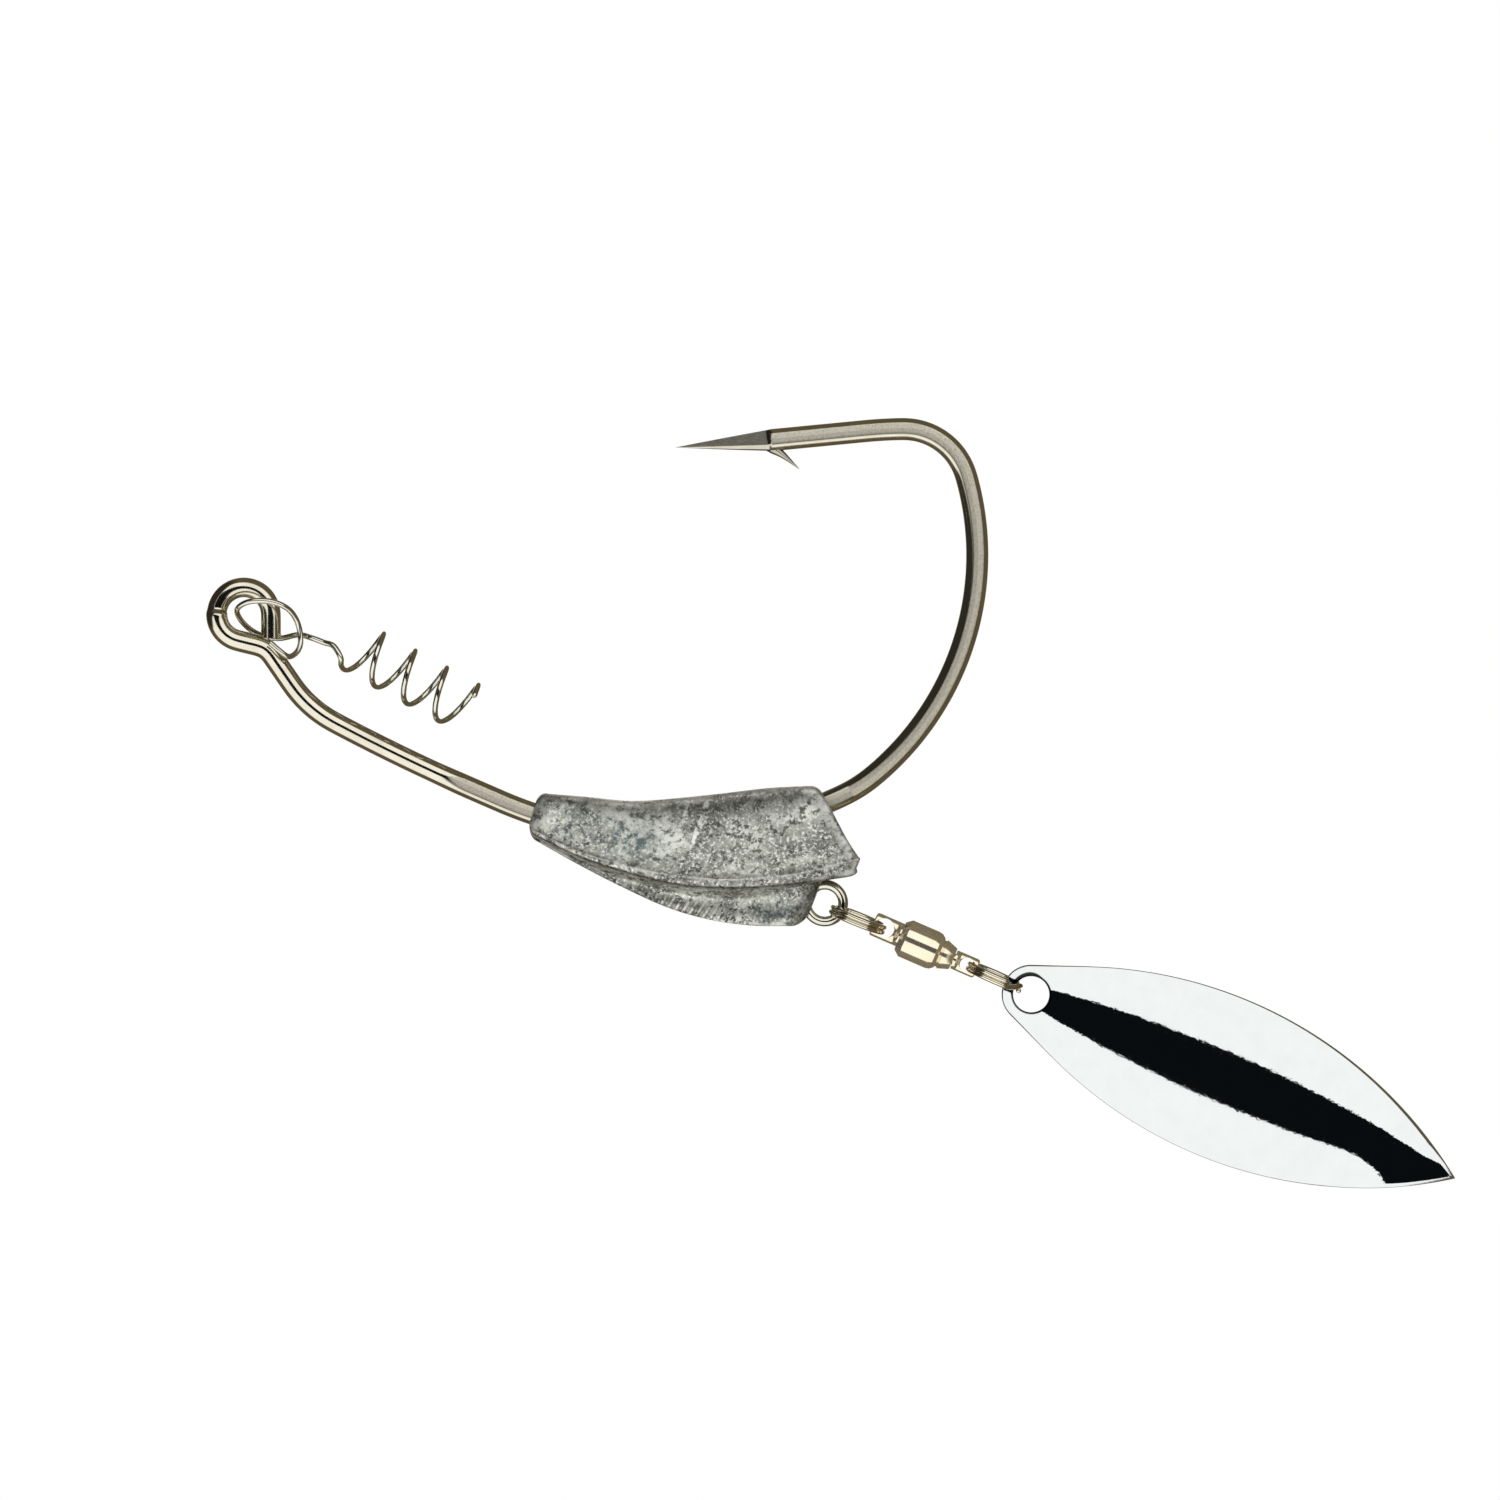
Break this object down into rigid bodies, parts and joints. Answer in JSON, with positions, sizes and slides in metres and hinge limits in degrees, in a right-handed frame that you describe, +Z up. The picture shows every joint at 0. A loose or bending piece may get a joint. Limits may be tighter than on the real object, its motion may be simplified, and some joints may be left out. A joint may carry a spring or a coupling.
{
  "type": "weighted hook lure",
  "caption": "Wide-gap hook with a cast belly weight, a screw-lock bait coil at the eye and a small willow-leaf blade hanging from a ball-bearing swivel.",
  "frame": {"origin": "middle of the hook's line eye", "axes": "+Z up along the hanging lure, the blade hangs down -Z; the hook lies in the XZ plane with its point on the +X side"},
  "size_m": [0.0424, 0.0066, 0.1031],
  "materials": {
    "hook_steel": "polished black nickel, forged flats satin",
    "cast_lead": "bare cast lead with a mottled grey skin and scratches",
    "bright_wire": "drawn stainless wire",
    "ring_nickel": "nickel plated spring wire",
    "swivel_nickel": "nickel plated brass, polished",
    "bearing_steel": "hardened steel",
    "blade_chrome": "mirror plated sheet with fine scratches"
  },
  "bodies": {
    "weighted_hook": {"hook": "hook_steel", "keel_weight": "cast_lead", "belly_eye": "bright_wire"},
    "bait_lock": {"screw_lock": "bright_wire"},
    "front_ring": {"front_split_ring": "ring_nickel"},
    "swivel_body": {"front_lug": "swivel_nickel", "swivel_barrel": "swivel_nickel", "race_washer": "bearing_steel"},
    "ball_set": {"bearing_ball_1": "bearing_steel", "bearing_ball_2": "bearing_steel", "bearing_ball_3": "bearing_steel", "bearing_ball_4": "bearing_steel", "bearing_ball_5": "bearing_steel", "bearing_ball_6": "bearing_steel", "bearing_ball_7": "bearing_steel", "bearing_ball_8": "bearing_steel"},
    "spinner_pin": {"swivel_pin": "swivel_nickel"},
    "rear_ring": {"rear_split_ring": "ring_nickel"},
    "blade": {"willow_blade": "blade_chrome"}
  },
  "joints": [
    {"name": "bait_lock_swing", "type": "hinge", "parent": "weighted_hook", "child": "bait_lock", "pos_m": [0, 0, 0], "axis": [0, 1, 0], "range_deg": [-70, 0]},
    {"name": "front_ring_swing", "type": "hinge", "parent": "weighted_hook", "child": "front_ring", "pos_m": [-0.00245, 0, -0.04856], "axis": [0, 1, 0], "range_deg": [-45, 75]},
    {"name": "swivel_swing", "type": "hinge", "parent": "front_ring", "child": "swivel_body", "pos_m": [-0.00245, 0, -0.05133], "axis": [1, 0, 0], "range_deg": [-75, 75]},
    {"name": "pin_spin", "type": "hinge", "parent": "swivel_body", "child": "spinner_pin", "pos_m": [-0.00245, 0, -0.0578], "axis": [0, 0, 1], "continuous": true},
    {"name": "ball_orbit", "type": "hinge", "parent": "swivel_body", "child": "ball_set", "pos_m": [-0.00245, 0, -0.0578], "axis": [0, 0, 1], "continuous": true},
    {"name": "rear_ring_swing", "type": "hinge", "parent": "spinner_pin", "child": "rear_ring", "pos_m": [-0.00245, 0, -0.0602], "axis": [0, 1, 0], "range_deg": [-45, 45]},
    {"name": "blade_swing", "type": "hinge", "parent": "rear_ring", "child": "blade", "pos_m": [-0.00245, 0, -0.06243], "axis": [1, 0, 0], "range_deg": [-75, 75]}
  ],
  "couplings": [
    {"joint": "ball_orbit", "follows": "pin_spin", "ratio": 0.5}
  ]
}
